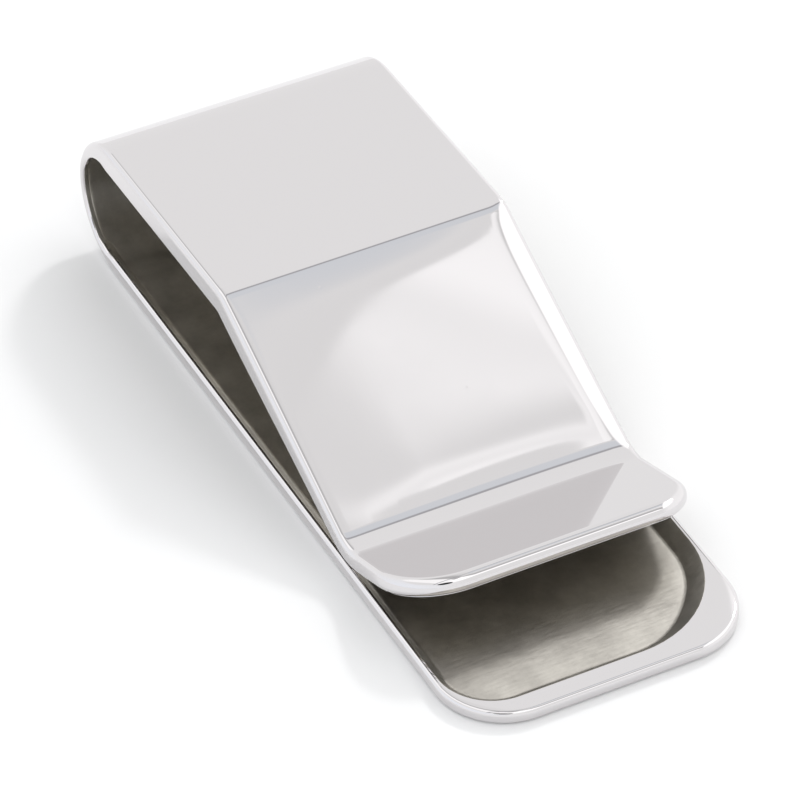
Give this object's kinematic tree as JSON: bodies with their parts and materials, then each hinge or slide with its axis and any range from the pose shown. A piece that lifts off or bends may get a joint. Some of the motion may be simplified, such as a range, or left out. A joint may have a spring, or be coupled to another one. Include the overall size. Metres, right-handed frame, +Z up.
{
  "type": "money clip",
  "caption": "Folded spring money clip of polished steel: flat panel, dished ramp, pressing heel and flared lip over a flat arm with a satin pocket.",
  "frame": {"origin": "centre of the bounding box on the resting face under the lower arm", "axes": "+X along the clip from the rear bend to the open end, +Y across the strip, +Z up from the resting face"},
  "size_m": [0.059, 0.022, 0.0109],
  "materials": {
    "polished_strip": "mirror polished stainless steel",
    "polished_rim": "mirror polished stainless steel rim",
    "satin_pocket": "dull satin pocket floor, unpolished"
  },
  "bodies": {
    "base": {"base_plate": "satin_pocket", "base_rim": "polished_rim", "spring_bend": "polished_strip"},
    "pressure_arm": {"flat_panel": "polished_strip", "convex_crease": "polished_strip", "ramp_panel": "polished_strip", "pressure_heel": "polished_strip", "flared_lip": "polished_strip"}
  },
  "joints": [
    {"name": "arm_flex", "type": "hinge", "parent": "base", "child": "pressure_arm", "pos_m": [-0.0242, 0, 0.0053], "axis": [0, -1, 0], "range_deg": [0, 8], "stiffness_Nm_per_rad": 2.8, "springref_deg": -2.86, "deforming": ["spring_bend"]}
  ]
}
